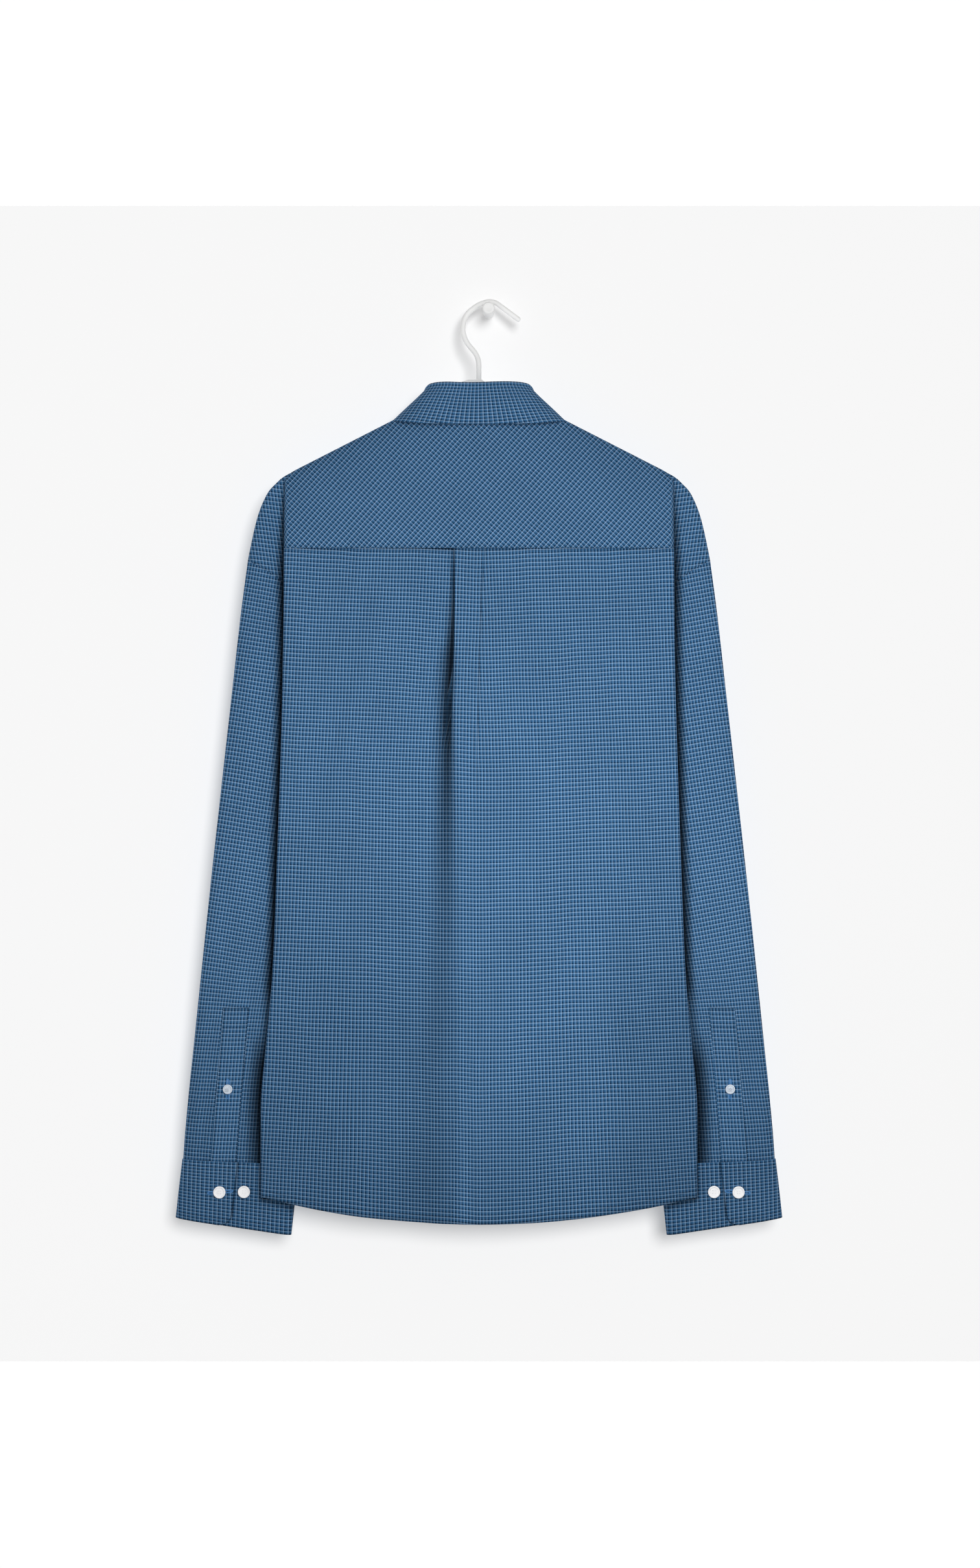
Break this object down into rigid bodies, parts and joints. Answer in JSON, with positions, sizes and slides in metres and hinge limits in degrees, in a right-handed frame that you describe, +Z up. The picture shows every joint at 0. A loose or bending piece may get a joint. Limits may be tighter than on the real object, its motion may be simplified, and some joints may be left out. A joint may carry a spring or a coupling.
{
  "type": "plaid shirt on a hanger and wall peg",
  "caption": "Long-sleeved button-up check shirt with a bias yoke and back box pleat, hung flat from a hanger on a wall peg.",
  "frame": {"origin": "centre of the peg's wall face, on the wall plane", "axes": "+Z up, +Y into the wall, +X to the viewer's right as the viewer faces the wall"},
  "size_m": [0.5728, 0.0546, 0.8875],
  "materials": {
    "shirting": "light cotton shirting in a fine light-and-dark blue grid check, cut on the straight grain",
    "bias_shirting": "the same check shirting cut on the bias",
    "white_button": "milky white resin with a soft gloss",
    "grey_button": "pale pearly grey resin with a soft gloss",
    "white_plastic": "smooth white moulded plastic",
    "white_peg": "white enamelled turned peg"
  },
  "bodies": {
    "root": {"yoke": "bias_shirting", "back_panel": "shirting", "collar_stand": "shirting", "collar_leaf": "shirting", "front_left": "shirting", "shoulder_left": "shirting", "sleeve_left": "shirting", "gauntlet_left": "shirting", "cuff_left": "shirting", "gauntlet_button_left": "grey_button", "cuff_button_left_fastened": "white_button", "cuff_button_left_free": "white_button", "front_right": "shirting", "shoulder_right": "shirting", "sleeve_right": "shirting", "gauntlet_right": "shirting", "cuff_right": "shirting", "gauntlet_button_right": "grey_button", "cuff_button_right_fastened": "white_button", "cuff_button_right_free": "white_button", "front_button_1": "white_button", "front_button_2": "white_button", "front_button_3": "white_button", "front_button_4": "white_button", "front_button_5": "white_button", "front_button_6": "white_button", "front_button_7": "white_button", "hanger_body": "white_plastic", "hanger_hook": "white_plastic", "wall_peg": "white_peg"}
  },
  "joints": []
}
